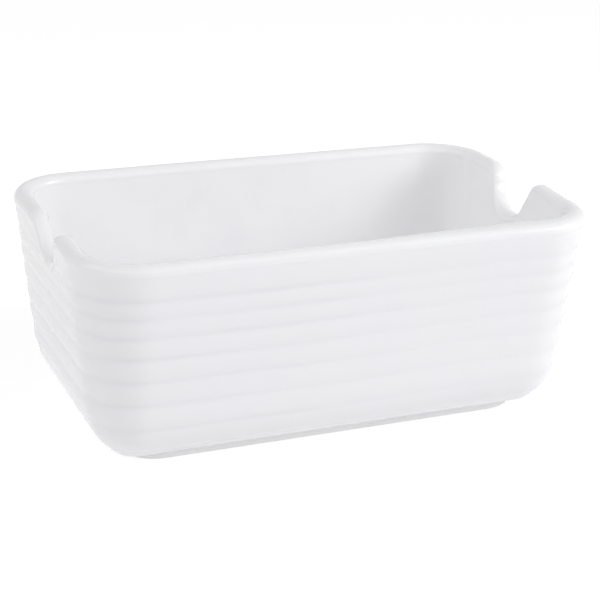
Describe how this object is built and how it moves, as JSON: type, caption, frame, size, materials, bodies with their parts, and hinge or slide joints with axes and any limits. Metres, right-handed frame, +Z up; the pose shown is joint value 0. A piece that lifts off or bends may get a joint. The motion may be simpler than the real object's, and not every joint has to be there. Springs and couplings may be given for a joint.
{
  "type": "sugar packet holder",
  "caption": "Open rectangular glazed ceramic holder for sugar packets, with soft ribs round its leaning walls, a rounded lip and a scooped notch in each end wall.",
  "frame": {"origin": "centre of the plan, on the face of the foot ring that stands on the table", "axes": "+X along the length towards one notched end wall, +Y across the width, +Z up out of the open top"},
  "size_m": [0.127, 0.076, 0.051],
  "materials": {
    "glaze": "glossy white glaze, bare on the foot ring"
  },
  "bodies": {
    "root": {"holder_body": "glaze"}
  },
  "joints": []
}
